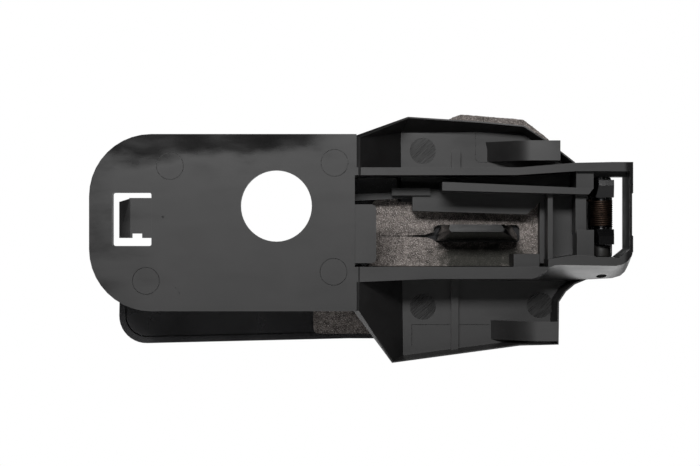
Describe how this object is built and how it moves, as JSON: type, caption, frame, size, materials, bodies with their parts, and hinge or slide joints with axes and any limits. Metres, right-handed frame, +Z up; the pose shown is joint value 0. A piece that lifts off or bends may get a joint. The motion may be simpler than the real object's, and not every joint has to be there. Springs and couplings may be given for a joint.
{
  "type": "car door handle",
  "caption": "Exterior car door handle: moulded back plate with lock cylinder hole, fairing and pivot frame, and a sprung pull lever on an upright pin.",
  "frame": {"origin": "on the plate's flat back face, halfway up it, between the snap window and the lock cylinder hole", "axes": "+X from the plate's rounded end to the pivot, +Y out of the door, +Z up the plate"},
  "size_m": [0.2103, 0.045, 0.0985],
  "materials": {
    "moulded_black": "fine matte mould texture, satin on the walls",
    "arm_black": "semi gloss moulding",
    "gloss_black": "high gloss",
    "foam": "open cell foam, rough",
    "screw_steel": "dark zinc plating",
    "pin_steel": "drawn bright steel",
    "spring_wire": "oiled spring wire",
    "buffer_rubber": "matte rubber",
    "nylon": "self-coloured nylon"
  },
  "bodies": {
    "base": {"base_housing": "moulded_black", "pivot_pin": "pin_steel", "pin_clip": "pin_steel", "spacer_lower": "nylon", "return_spring": "spring_wire"},
    "lever": {"lever_arm": "arm_black", "grip_cover": "gloss_black", "head_foam": "foam", "cover_screw_1": "screw_steel", "cover_screw_2": "screw_steel", "cover_screw_3": "screw_steel", "rest_buffer_upper": "buffer_rubber", "rest_buffer_lower": "buffer_rubber"}
  },
  "joints": [
    {"name": "lever_pull", "type": "hinge", "parent": "base", "child": "lever", "pos_m": [0.1565, 0.011, 0.004], "axis": [0, 0, -1], "range_deg": [0, 14], "stiffness_Nm_per_rad": 1, "springref_deg": -20.05, "deforming": ["return_spring"]}
  ]
}
